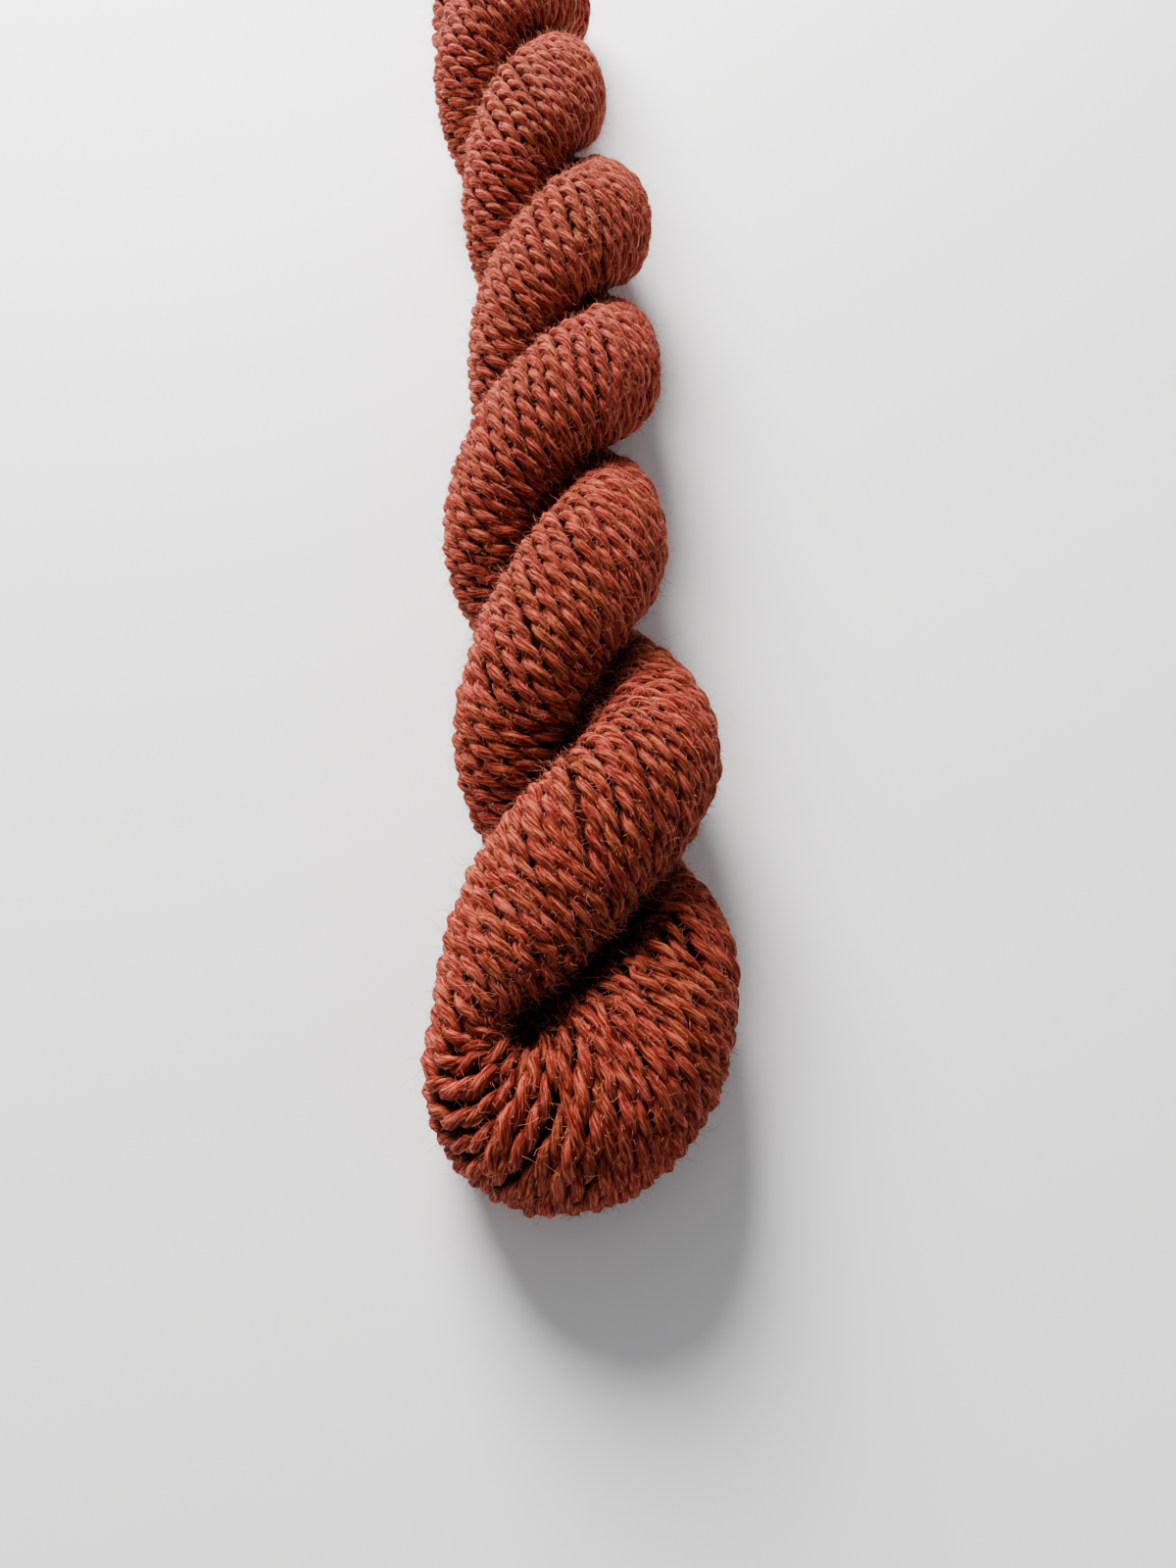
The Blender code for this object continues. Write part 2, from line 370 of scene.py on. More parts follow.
def windingAngles(ways, lap):
    # the turns go left-handed round the ply, and a lap ends one place further
    pastFold = plyWays - plyWays[np.argmin(plyRows[:, 1])]
    turned = summed(np.interp(pastFold, yarn["foldWays"], yarn["foldWinding"]) * plySteps)
    fullTurns = round(yarn["winding"] * turned[-1] / (2 * math.pi))
    perLap = 2 * math.pi * (fullTurns + 1 / yarn["laps"])
    inLap = np.interp(ways - lap * loopLength, np.append(plyWays, loopLength), turned)
    toStart = np.minimum(plyWays, loopLength - plyWays)
    shared = drift("sharedWander", plyWays) * smoothStep(toStart / yarn["lapEase"])
    return (-perLap * (lap + inLap / turned[-1]) + drift("wander", ways)
            + np.interp(ways, plyWays, shared, period=loopLength))


def sinkingOrder():
    # the room below which each lap sinks, spread so that no two neighbours are alike
    laps = yarn["laps"]
    bits = range(laps.bit_length())
    return np.array([sum((lap >> bit & 1) / 2 ** (bit + 1) for bit in bits)
                     for lap in range(laps)])


def softFloor(heights, lowest, soft):
    above = (heights - lowest) / soft
    return lowest + soft * np.where(above > 20, above, np.log1p(np.exp(np.minimum(above, 20))))


def gapToOtherPly(points, ways):
    # rough distance to the surface of the ply that lies alongside, below zero inside it
    every, portion, samePly, farOff = 3, 4000, 0.045, 1.0
    rows, rowWays = plyRows[::every], plyWays[::every]
    gaps = np.empty(len(points))
    for start in range(0, len(points), portion):
        part = slice(start, start + portion)
        apart = (ways[part, None] - rowWays[None, :]) % loopLength
        apart = np.minimum(apart, loopLength - apart)
        far = np.linalg.norm(points[part, None, :] - rows[None, :, centreCols], axis=2)
        near = rows[np.argmin(np.where(apart < samePly, farOff, far), axis=1)]
        offset = points[part] - near[:, centreCols]
        out = (offset * near[:, outwardCols]).sum(axis=1)
        side = (offset * near[:, sidewaysCols]).sum(axis=1)
        deep = np.where(out > 0, near[:, outerCol], near[:, innerCol])
        broad = near[:, breadthCol]
        reach = np.sqrt((out / deep) ** 2 + (side / broad) ** 2)
        gaps[part] = (reach - 1) * 0.5 * (deep + broad)
    return gaps


def windYarn():
    total = yarn["laps"] * loopLength
    ways = np.arange(0, total, yarn["step"])
    lap = np.floor(ways / loopLength)
    angle = windingAngles(ways, lap)
    rows = plyAt(ways)
    upright = rows[:, uprightCol]

    # where the turns crowd, some sink under their neighbours
    loose = yarn["foldThick"] + yarn["foldThin"] * np.cos(angle)
    thick = yarn["thick"] * (1 + upright * loose)
    room = surfaceAt(rows, angle)[2]
    order = sinkingOrder()[lap.astype(int) % yarn["laps"]]
    short = order - room / (thick * yarn["needs"])
    sunk = smoothStep((short + yarn["giveWay"]) / (2 * yarn["giveWay"]))

    # and the others share out the room that those leave
    aside, crowd = np.zeros(len(ways)), sunk.copy()
    for apart, share in enumerate(yarn["spread"], 1):
        nextSunk = np.interp(ways + apart * loopLength, ways, sunk, period=total)
        lastSunk = np.interp(ways - apart * loopLength, ways, sunk, period=total)
        aside += share * (nextSunk - lastSunk)
        crowd += nextSunk + lastSunk
    left = np.maximum(1 - crowd / (1 + 2 * len(yarn["spread"])), yarn["leastLeft"])
    angle = angle - 2 * math.pi / yarn["laps"] * aside / left
    onSurface, normal, _ = surfaceAt(rows, angle)
    room = room / left
    sink = (yarn["sink"] + yarn["crowdSink"] * sunk
            + yarn["crowdMore"] * np.maximum(short - yarn["crowdFrom"], 0)
            + drift("lift", ways) + drift("fineLift", ways))

    # near the other ply the turns dive into the crease
    gap = gapToOtherPly(onSurface, ways)
    sink = sink + yarn["creaseSink"] * smoothStep(1 - gap / yarn["creaseReach"])
    points = surfaceAt(rows, angle, sink)[0]
    lowest = yarn["thick"] * yarn["floorShare"]
    points[:, 2] = softFloor(points[:, 2], lowest, yarn["floorSoft"])
    least, most = (girth - less * upright
                   for girth, less in zip(yarn["girths"], yarn["foldLess"]))
    girth = np.clip(room / thick, least, most) * thick / yarn["thick"]
    return ways, points, normal, sink, girth


def nearOutside(points):
    # which parts of the yarn lie near the outside of the solid
    mesh = bmesh.new()
    mesh.from_mesh(cadHank.data)
    tree = BVHTree.FromBMesh(mesh)
    mesh.free()
    shown = np.zeros(len(points), bool)
    for index, point in enumerate(points):
        spot, face, _, far = tree.find_nearest(point)
        inside = (spot - Vector(point)).dot(face) > 0
        shown[index] = not (inside and far > yarn["hideDepth"])
    return shown


yarnWays, yarnPoints, yarnNormals, yarnSinks, yarnGirths = windYarn()
yarnTangents = unit(np.gradient(yarnPoints, axis=0))
lengthwise = (yarnNormals * yarnTangents).sum(axis=1, keepdims=True)
yarnNormals = unit(yarnNormals - yarnTangents * lengthwise)
yarnSides = np.cross(yarnTangents, yarnNormals)
yarnLengths = summed(np.linalg.norm(np.diff(yarnPoints, axis=0), axis=1))
yarnOuter = nearOutside(yarnPoints)

# how the yarn looks out, so that painted shade can darken it where it sees little of the sky
sky = {
    "every": 3,                # points of the yarn from one look to the next
    "rays": 20,
    "widest": 0.92,            # share of the half sky that the rays take in
    "eyeHeight": 0.0034,       # where they start, above the middle of the yarn
    "reach": 0.030,            # what lies further off doesn't shade
    "plyEvery": 4,             # rows of the plies from one ring of what shades to the next
    "plySides": 28,
}


def outsideTree():
    # the outside of both plies as one surface
    rows, sides = plyRows[::sky["plyEvery"]], sky["plySides"]
    angle = np.tile(np.arange(sides) * 2 * math.pi / sides, len(rows))
    points = surfaceAt(np.repeat(rows, sides, axis=0), angle)[0]
    index = np.arange(len(points)).reshape(len(rows), sides)
    onward, around = np.roll(index, -1, axis=0), np.roll(index, -1, axis=1)
    faces = np.stack([index, onward, np.roll(onward, -1, axis=1), around], axis=-1)
    return BVHTree.FromPolygons(points.tolist(), faces.reshape(-1, 4).tolist())


def opennessOf(points, normals):
    # share of the sky that each part of the yarn sees
    tree = outsideTree()
    picks = np.arange(0, len(points), sky["every"])
    numbers = np.arange(sky["rays"])
    heights = 1 - (numbers + 0.5) / sky["rays"] * sky["widest"]
    flat = np.sqrt(1 - heights ** 2)
    goldenTurn = math.pi * (3 - math.sqrt(5))
    turns = goldenTurn * numbers
    fan = np.stack([flat * np.cos(turns), flat * np.sin(turns), heights], axis=1)
    weights = heights / heights.sum()
    seen = np.zeros(len(picks))
    for number, pick in enumerate(picks):
        normal = normals[pick]
        helper = np.array([0.0, 1.0, 0.0] if abs(normal[1]) < 0.8 else [1.0, 0.0, 0.0])
        first = np.cross(helper, normal)
        first /= np.linalg.norm(first)
        rays = fan @ np.stack([first, np.cross(normal, first), normal])
        eye = points[pick] + normal * sky["eyeHeight"]
        for ray, weight in zip(rays, weights):
            if tree.ray_cast(eye, ray, sky["reach"])[0] is None:
                seen[number] += weight
    return np.interp(np.arange(len(points)), picks, seen)


def stretchesOf(shown):
    wide = shown.copy()
    for shift in range(1, yarn["showMore"] + 1):
        wide[shift:] |= shown[:-shift]
        wide[:-shift] |= shown[shift:]
    edges = np.flatnonzero(np.diff(np.concatenate([[0], wide.astype(int), [0]])))
    return [(a, b) for a, b in zip(edges[::2], edges[1::2]) if b - a > yarn["shortest"]]


yarnOpen = np.zeros(len(yarnPoints))
yarnOpen[yarnOuter] = opennessOf(yarnPoints[yarnOuter], yarnNormals[yarnOuter])
runs = stretchesOf(yarnOuter & (yarnOpen > yarn["hideDark"]))
shownCount = sum(b - a for a, b in runs)
print("yarn", round(yarnLengths[-1], 1), "m wound,", len(runs), "stretches show,",
      shownCount, "points")


def socketsOf(tree, inputs, outputs):
    for names, side in ((inputs, 'INPUT'), (outputs, 'OUTPUT')):
        for name, kind in names:
            tree.interface.new_socket(name, in_out=side, socket_type=kind)


def nodeAt(tree, kind, **values):
    node = tree.nodes.new(kind)
    for name, value in values.items():
        setattr(node, name, value)
    return node


def spinningTree(name, sides):
    # turns paths into round strands, as thick as the paths' points say
    tree = bpy.data.node_groups.new(name, "GeometryNodeTree")
    geometry = [("Geometry", "NodeSocketGeometry")]
    socketsOf(tree, geometry, geometry)
    links = tree.links
    start = nodeAt(tree, "NodeGroupInput")
    end = nodeAt(tree, "NodeGroupOutput")
    toCurve = nodeAt(tree, "GeometryNodeMeshToCurve")
    ring = nodeAt(tree, "GeometryNodeCurvePrimitiveCircle")
    ring.inputs["Resolution"].default_value = sides
    ring.inputs["Radius"].default_value = 1.0
    ringPlace = nodeAt(tree, "GeometryNodeInputPosition")
    keep = nodeAt(tree, "GeometryNodeStoreNamedAttribute", data_type='FLOAT_VECTOR', domain='POINT')
    keep.inputs["Name"].default_value = "ringPlace"
    thickness = nodeAt(tree, "GeometryNodeInputNamedAttribute", data_type='FLOAT')
    thickness.inputs["Name"].default_value = "thickness"
    sweep = nodeAt(tree, "GeometryNodeCurveToMesh")
    sweep.inputs["Fill Caps"].default_value = True
    smooth = nodeAt(tree, "GeometryNodeSetShadeSmooth")
    links.new(start.outputs[0], toCurve.inputs[0])
    links.new(toCurve.outputs[0], sweep.inputs["Curve"])
    links.new(ring.outputs[0], keep.inputs["Geometry"])
    links.new(ringPlace.outputs[0], keep.inputs["Value"])
    links.new(keep.outputs[0], sweep.inputs["Profile Curve"])
    links.new(thickness.outputs["Attribute"], sweep.inputs["Scale"])
    links.new(sweep.outputs[0], smooth.inputs[0])
    links.new(smooth.outputs[0], end.inputs[0])
    return tree


def addLayer(mesh, name, numbers):
    isVector = numbers.ndim == 2
    layer = mesh.attributes.new(name, 'FLOAT_VECTOR' if isVector else 'FLOAT', 'POINT')
    layer.data.foreach_set("vector" if isVector else "value", numbers.astype(np.float32).ravel())


def readLayer(mesh, name):
    numbers = np.empty(len(mesh.vertices) * 3, np.float32)
    mesh.attributes[name].data.foreach_get("vector", numbers)
    return numbers.reshape(-1, 3)


def addObject(name, mesh):
    thing = bpy.data.objects.new(name, mesh)
    bpy.context.scene.collection.objects.link(thing)
    return thing


def pathsToPiece(name, points, starts, layers, tree, material):
    # points in rows one path after the other, starts holds the first row of each path
    joined = np.ones(len(points) - 1, bool)
    joined[np.array(starts[1:]) - 1] = False
    first = np.flatnonzero(joined)
    mesh = bpy.data.meshes.new(name + "Paths")
    mesh.vertices.add(len(points))
    mesh.vertices.foreach_set("co", points.astype(np.float32).ravel())
    mesh.edges.add(len(first))
    ends = np.stack([first, first + 1], axis=1)
    mesh.edges.foreach_set("vertices", ends.astype(np.int32).ravel())
    for label, numbers in layers.items():
        addLayer(mesh, label, numbers)
    mesh.update()
    paths = addObject(name + "Paths", mesh)
    sweep = paths.modifiers.new("sweep", 'NODES')
    sweep.node_group = tree
    depsgraph = bpy.context.evaluated_depsgraph_get()
    solid = bpy.data.meshes.new_from_object(paths.evaluated_get(depsgraph), depsgraph=depsgraph)
    bpy.data.objects.remove(paths)
    bpy.data.meshes.remove(mesh)
    solid.name = name
    solid.materials.clear()
    solid.materials.append(material)
    return addObject(name, solid)


def addRise(piece):
    # how high each point lies over the middle of its yarn, 0 at the bottom to 1 on top,
    # and how far out, low in the grooves between both strands
    mesh = piece.data
    offset = readLayer(mesh, "position") - readLayer(mesh, "middle")
    over = (offset * readLayer(mesh, "up")).sum(axis=1)
    addLayer(mesh, "rise", 0.5 + over / yarn["thick"])
    outermost = yarn["strandRadius"] + yarn["strandOffset"]
    addLayer(mesh, "crest", np.linalg.norm(offset, axis=1) / outermost)
    for name in ("middle", "up"):
        mesh.attributes.remove(mesh.attributes[name])


def joinHank(piece):
    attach(piece, "root")
    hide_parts("hank")
    triangles = sum(len(face.vertices) - 2 for face in piece.data.polygons)
    print(piece.name, triangles, "triangles")
    return triangles


def layerNode(tree, name, output="Fac"):
    return nodeAt(tree, "ShaderNodeAttribute", attribute_name=name).outputs[output]


def computed(tree, operation, a, b):
    node = nodeAt(tree, "ShaderNodeMath", operation=operation)
    tree.links.new(a, node.inputs[0])
    tree.links.new(b, node.inputs[1])
    return node.outputs[0]


def ranged(tree, value, limits, results=(0.0, 1.0), kind='SMOOTHSTEP'):
    node = nodeAt(tree, "ShaderNodeMapRange", interpolation_type=kind)
    names = ("From Min", "From Max", "To Min", "To Max")
    for name, number in zip(names, limits + results):
        node.inputs[name].default_value = number
    tree.links.new(value, node.inputs["Value"])
    return node.outputs[0]


def mixColours(tree, factor, a, b, blend='MIX'):
    node = nodeAt(tree, "ShaderNodeMix", data_type='RGBA', blend_type=blend)
    factorSocket, first, second = node.inputs[0], node.inputs[6], node.inputs[7]
    if isinstance(factor, float):
        factorSocket.default_value = factor
    else:
        tree.links.new(factor, factorSocket)
    for socket, colour in ((first, a), (second, b)):
        if isinstance(colour, tuple):
            socket.default_value = colour + (1.0,)
        else:
            tree.links.new(colour, socket)
    return node.outputs[2]


def woolFibresGroup():
    # streaks of fibre that run slantwise along a strand, as colour masks and a height
    group = bpy.data.node_groups.new("woolFibres", "ShaderNodeTree")
    socketsOf(group, [(name, "NodeSocketFloat") for name in ("Lean", "Width", "Length")],
              [(name, "NodeSocketFloat") for name in ("Streaks", "Filled", "Height", "Heather")])
    links = group.links
    start = nodeAt(group, "NodeGroupInput")
    end = nodeAt(group, "NodeGroupOutput")
    along = layerNode(group, "along")
    turn = nodeAt(group, "ShaderNodeVectorRotate", rotation_type='Z_AXIS')
    links.new(layerNode(group, "ringPlace", "Vector"), turn.inputs["Vector"])
    links.new(computed(group, 'MULTIPLY', along, start.outputs["Lean"]), turn.inputs["Angle"])
    split = nodeAt(group, "ShaderNodeSeparateXYZ")
    links.new(turn.outputs[0], split.inputs[0])
    join = nodeAt(group, "ShaderNodeCombineXYZ")
    for axis in (0, 1):
        narrow = computed(group, 'DIVIDE', split.outputs[axis], start.outputs["Width"])
        links.new(narrow, join.inputs[axis])
    links.new(computed(group, 'DIVIDE', along, start.outputs["Length"]), join.inputs[2])
    fibres = nodeAt(group, "ShaderNodeTexNoise", noise_dimensions='3D')
    fibres.inputs["Scale"].default_value = 1.0
    fibres.inputs["Detail"].default_value = 3.0
    fibres.inputs["Roughness"].default_value = 0.72
    links.new(join.outputs[0], fibres.inputs["Vector"])
    for name, limits in (("Streaks", (0.50, 0.62)), ("Filled", (0.36, 0.52))):
        links.new(ranged(group, fibres.outputs["Fac"], limits), end.inputs[name])
    cloud = nodeAt(group, "ShaderNodeTexNoise", noise_dimensions='1D')
    cloud.inputs["Scale"].default_value = 0.16
    cloud.inputs["Detail"].default_value = 3.0
    links.new(along, cloud.inputs["W"])
    links.new(fibres.outputs["Fac"], end.inputs["Height"])
    links.new(cloud.outputs["Fac"], end.inputs["Heather"])
    return group


woolFibres = woolFibresGroup()

yarnLook = {
    "rust": (0.250, 0.0270, 0.0140),
    "brown": (0.175, 0.0300, 0.0115),
    "rose": (0.255, 0.0260, 0.0190),
    "shadow": (0.24, 0.03, 0.02),          # between the fibres
    "tips": (0.450, 0.101, 0.054),         # painted highlight on the fibres on top of a strand
    "goldHighlight": (0.425, 0.107, 0.046),
    "roseHighlight": (0.460, 0.100, 0.060),
    "side": (0.16, 0.016, 0.010),          # painted shade low down at the sides of the yarn
    "highlightAndShadeRange": (0.28, 0.80),
    "grooveShade": (0.18, 0.02, 0.015),         # painted shade between both strands
    "grooveShadeRange": (0.54, 0.84),
    "gap": (0.010, 0.0006, 0.0003),        # painted shade, deep down and where the yarn sees little sky
    "heatherRange": (0.35, 0.65),
    "lean": 0.20,              # radians per mm along a strand
    "fibreWidth": 0.34,        # shares of the strand's radius
    "fibreLength": 2.8,        # mm
    "bump": 0.8,
    "bumpHeight": 0.00035,
    "roughness": (0.85, 0.6),  # between the fibres and on them
    "sheen": 0.03,
    "sheenRoughness": 0.45,
    "sheenTint": (1.0, 0.50, 0.36),
    "shine": 0.10,
}


def woolMaterial(name, look):
    material = bpy.data.materials.new(name)
    material.use_nodes = True
    tree = material.node_tree
    shader = tree.nodes["Principled BSDF"]
    white = (1.0, 1.0, 1.0)
    fibres = nodeAt(tree, "ShaderNodeGroup", node_tree=woolFibres)
    for socket, value in (("Lean", "lean"), ("Width", "fibreWidth"), ("Length", "fibreLength")):
        fibres.inputs[socket].default_value = look[value]
    shade = layerNode(tree, "shade")
    heather = ranged(tree, fibres.outputs["Heather"], look["heatherRange"], kind='LINEAR')
    base = mixColours(tree, heather, look["rust"], look["brown"])
    base = mixColours(tree, shade, base, look["rose"])

    # painted shade between the fibres, and a painted highlight on those that lie on top
    filled = mixColours(tree, fibres.outputs["Filled"], look["shadow"], white)
    colour = mixColours(tree, 1.0, base, filled, 'MULTIPLY')
    onTop = ranged(tree, layerNode(tree, "rise"), look["highlightAndShadeRange"])
    tips = mixColours(tree, heather, look["tips"], look["goldHighlight"])
    tips = mixColours(tree, shade, tips, look["roseHighlight"])
    highlightMask = computed(tree, 'MULTIPLY', fibres.outputs["Streaks"], onTop)
    colour = mixColours(tree, highlightMask, colour, tips)

    # painted shade down the sides, in the groove between both strands, and deep in the hank
    sides = mixColours(tree, onTop, look["side"], white)
    colour = mixColours(tree, 1.0, colour, sides, 'MULTIPLY')
    grooveShade = ranged(tree, layerNode(tree, "crest"), look["grooveShadeRange"])
    grooves = mixColours(tree, grooveShade, look["grooveShade"], white)
    colour = mixColours(tree, 1.0, colour, grooves, 'MULTIPLY')
    colour = mixColours(tree, layerNode(tree, "deep"), colour, look["gap"])
    tree.links.new(colour, shader.inputs["Base Color"])
    rough = ranged(tree, fibres.outputs["Streaks"], (0.0, 1.0), look["roughness"], 'LINEAR')
    tree.links.new(rough, shader.inputs["Roughness"])
    bump = nodeAt(tree, "ShaderNodeBump")
    bump.inputs["Strength"].default_value = look["bump"]
    bump.inputs["Distance"].default_value = look["bumpHeight"]
    tree.links.new(fibres.outputs["Height"], bump.inputs["Height"])
    tree.links.new(bump.outputs[0], shader.inputs["Normal"])
    shader.inputs["Sheen Weight"].default_value = look["sheen"]
    shader.inputs["Sheen Roughness"].default_value = look["sheenRoughness"]
    shader.inputs["Sheen Tint"].default_value = look["sheenTint"] + (1.0,)
    shader.inputs["Specular IOR Level"].default_value = look["shine"]
    shader.inputs["Specular Tint"].default_value = look["sheenTint"] + (1.0,)
    return material


yarnMaterial = woolMaterial("rustWool", yarnLook)


def strandsOf():
    # middle line, radius and colour of both strands all along the yarn
    atFold = np.interp(yarnWays, plyWays, plyRows[:, uprightCol], period=loopLength)
    pitch = 1 + drift("twist", yarnWays) + yarn["foldPitch"] * atFold
    twist = summed(np.diff(yarnLengths) / (yarn["twistPitch"] * pitch[1:]))
    phase = -2 * math.pi * twist
    girth = yarnGirths * (1 + drift("girth", yarnWays))
    strands = []
    for strand in (0, 1):
        turn = (phase + math.pi * strand)[:, None]
        radius = yarn["strandRadius"] * girth * (1 + drift("strandGirth", yarnWays, strand))
        offset = (yarn["strandOffset"] * girth)[:, None]
        spots = yarnPoints + offset * (np.cos(turn) * yarnNormals + np.sin(turn) * yarnSides)
        spots[:, 2] = softFloor(spots[:, 2], radius, yarn["strandSoft"])
        shade = np.clip(0.5 + drift("shade", yarnWays, strand), 0, 1)
        strands.append((spots, radius, shade))
    return strands


def shareOut(stretches):
    # the stretches in their order, in groups of about as many points
    edges = np.linspace(0, shownCount, yarn["pieces"] + 1)
    groups = [[] for _ in range(yarn["pieces"])]
    counted = 0
    for a, b in stretches:
        group = int(np.searchsorted(edges, counted, side="right")) - 1
        groups[min(group, yarn["pieces"] - 1)].append((a, b))
        counted += b - a
    return groups


def spinYarn():
    tree = spinningTree("spinStrand", yarn["ringSides"])
    # painted shade: the deep layer darkens turns that sink under others or see little sky
    depth = yarnSinks - yarn["sink"] - yarn["sunkFrom"]
    deep = np.maximum(yarn["sunkShade"] * smoothStep(depth / yarn["sunkOver"]),
                      yarn["caveShade"] * smoothStep(1 - yarnOpen / yarn["caveOpen"]))
    strands = strandsOf()
    total = 0
    for number, group in enumerate(shareOut(runs), 1):
        points, starts, count = [], [], 0
        layers = {name: [] for name in ("thickness", "along", "shade", "deep", "middle", "up")}
        for a, b in group:
            for strand, (spots, radius, shade) in enumerate(strands):
                points.append(spots[a:b])
                starts.append(count)
                count += b - a
                along = yarnLengths[a:b] * 1000 + 37 * strand    # mm, apart for each strand
                for name, numbers in (("thickness", radius[a:b]), ("along", along),
                                      ("shade", shade[a:b]), ("deep", deep[a:b]),
                                      ("middle", yarnPoints[a:b]), ("up", yarnNormals[a:b])):
                    layers[name].append(numbers)
        layers = {name: np.concatenate(parts) for name, parts in layers.items()}
        piece = pathsToPiece("yarnTurns%d" % number, np.concatenate(points), starts, layers,
                             tree, yarnMaterial)
        addRise(piece)
        total += joinHank(piece)
    return total


triangles = spinYarn()

# the turns below, seen only in the gaps, painted dark as the shade down there
innerTurns = {
    "inset": 0.0034,           # under the surface of the solid
    "lowest": 0.0012,
    "mergeWithin": 0.00002,
    "eyeSize": (0.0080, 0.0150, 0.0085),  # the turns that fill each eye, deep down
    "eyeLower": 0.0010,
    "eyeInwards": 0.0055,
    # painted shade: both colours are far darker than the yarn's own
    "colour": (0.055, 0.0040, 0.0020),
    "deeperShadeColour": (0.020, 0.0012, 0.0008),
    "knots": 420.0,            # how fine its bumps are
    "bump": 0.6,
    "bumpHeight": 0.001,
    "roughness": 0.95,
    "shine": 0.05,
}


def shadedWool():
    material = bpy.data.materials.new("shadedWool")
    material.use_nodes = True
    tree = material.node_tree
    shader = tree.nodes["Principled BSDF"]
    place = nodeAt(tree, "ShaderNodeTexCoord")
    knots = nodeAt(tree, "ShaderNodeTexNoise")
    knots.inputs["Scale"].default_value = innerTurns["knots"]
    tree.links.new(place.outputs["Object"], knots.inputs["Vector"])
    colour = mixColours(tree, knots.outputs["Fac"], innerTurns["deeperShadeColour"],
                        innerTurns["colour"])
    tree.links.new(colour, shader.inputs["Base Color"])
    shader.inputs["Roughness"].default_value = innerTurns["roughness"]
    shader.inputs["Specular IOR Level"].default_value = innerTurns["shine"]
    bump = nodeAt(tree, "ShaderNodeBump")
    bump.inputs["Strength"].default_value = innerTurns["bump"]
    bump.inputs["Distance"].default_value = innerTurns["bumpHeight"]
    tree.links.new(knots.outputs["Fac"], bump.inputs["Height"])
    tree.links.new(bump.outputs[0], shader.inputs["Normal"])
    return material


def buildInnerTurns():
    mesh = bmesh.new()
    mesh.from_mesh(cadHank.data)
    bmesh.ops.remove_doubles(mesh, verts=mesh.verts, dist=innerTurns["mergeWithin"])
    mesh.normal_update()
    shifts = [vert.normal * -innerTurns["inset"] for vert in mesh.verts]
    for vert, shift in zip(mesh.verts, shifts):
        vert.co += shift
        vert.co.z = max(vert.co.z, innerTurns["lowest"])
    bmesh.ops.smooth_vert(mesh, verts=mesh.verts, factor=0.5,
                          use_axis_x=True, use_axis_y=True, use_axis_z=True)
    for fold, turn, inwards in ((nearFold, 0, 1), (farFold, lastCrossing, -1)):
        y, axisX, _ = crossingAt(turn)
        middle = np.array([axisX + fold["eyeX"], y + inwards * innerTurns["eyeInwards"],
                           fold["centreZ"] - innerTurns["eyeLower"]])
        ball = bmesh.ops.create_uvsphere(mesh, u_segments=24, v_segments=12, radius=1.0)["verts"]
        bmesh.ops.scale(mesh, verts=ball, vec=innerTurns["eyeSize"])
        bmesh.ops.translate(mesh, verts=ball, vec=middle + hankForm["centreShift"])
    data = bpy.data.meshes.new("innerTurns")
    mesh.to_mesh(data)
    mesh.free()
    data.shade_smooth()
    data.materials.clear()
    data.materials.append(shadedWool())
    return joinHank(addObject("innerTurns", data))


triangles += buildInnerTurns()

# loose fibres that stand out of the yarn
fuzz = {
    # straight parts of each, usual and greatest length, how much they stand out, and how many
    # more grow in the creases
    "kinds": ({"name": "downFibres", "count": 40000, "joints": 1, "mean": 0.0008, "most": 0.0030,
               "radius": 0.000056, "outward": 1.2, "creases": 0.0, "seed": 41},
              {"name": "shortFibres", "count": 12000, "joints": 2, "mean": 0.0016, "most": 0.0042,
               "radius": 0.000046, "outward": 0.85, "creases": 0.0, "seed": 43},
              {"name": "longFibres", "count": 4200, "joints": 5, "mean": 0.0034, "most": 0.0080,
               "radius": 0.000036, "outward": 0.65, "creases": 2.0, "seed": 42}),
    "least": 0.001,            # added to each drawn length
    "endsFree": 4,             # points at the ends of a stretch where none grows
    "sunkDepth": 0.0015,       # turns that lie so much deeper
    "sunkChance": 0.15,        # have only this share of them
    "creaseOpen": 0.32,        # share of the sky that a crease sees
    "creaseSpread": 0.16,
    "aside": 1.35,             # furthest from the top of the yarn, in radians
    "rootDepth": 0.45,         # where they start, in thicknesses from its middle
    "stand": (0.3, 1.5),       # how much more or less they stand out
    "lengthwise": 0.8,         # how much they lie along the yarn
    "scatter": 0.35,           # how much their ways differ
    "wiggle": 0.22,            # and change from one part to the next
    "curl": 0.75,
    "lowest": 0.0002,
    "tipRadius": 0.35,         # share of the radius at the tip
    "dark": (0.34, 0.045, 0.022),
    "light": (0.66, 0.22, 0.14),
    "roughness": 0.6,
    "shine": 0.2,
    "sides": 3,
}


def looseWoolMaterial():
    material = bpy.data.materials.new("looseWool")
    material.use_nodes = True
    tree = material.node_tree
    shader = tree.nodes["Principled BSDF"]
    colour = mixColours(tree, layerNode(tree, "shade"), fuzz["dark"], fuzz["light"])
    tree.links.new(colour, shader.inputs["Base Color"])
    shader.inputs["Roughness"].default_value = fuzz["roughness"]
    shader.inputs["Specular IOR Level"].default_value = fuzz["shine"]
    return material


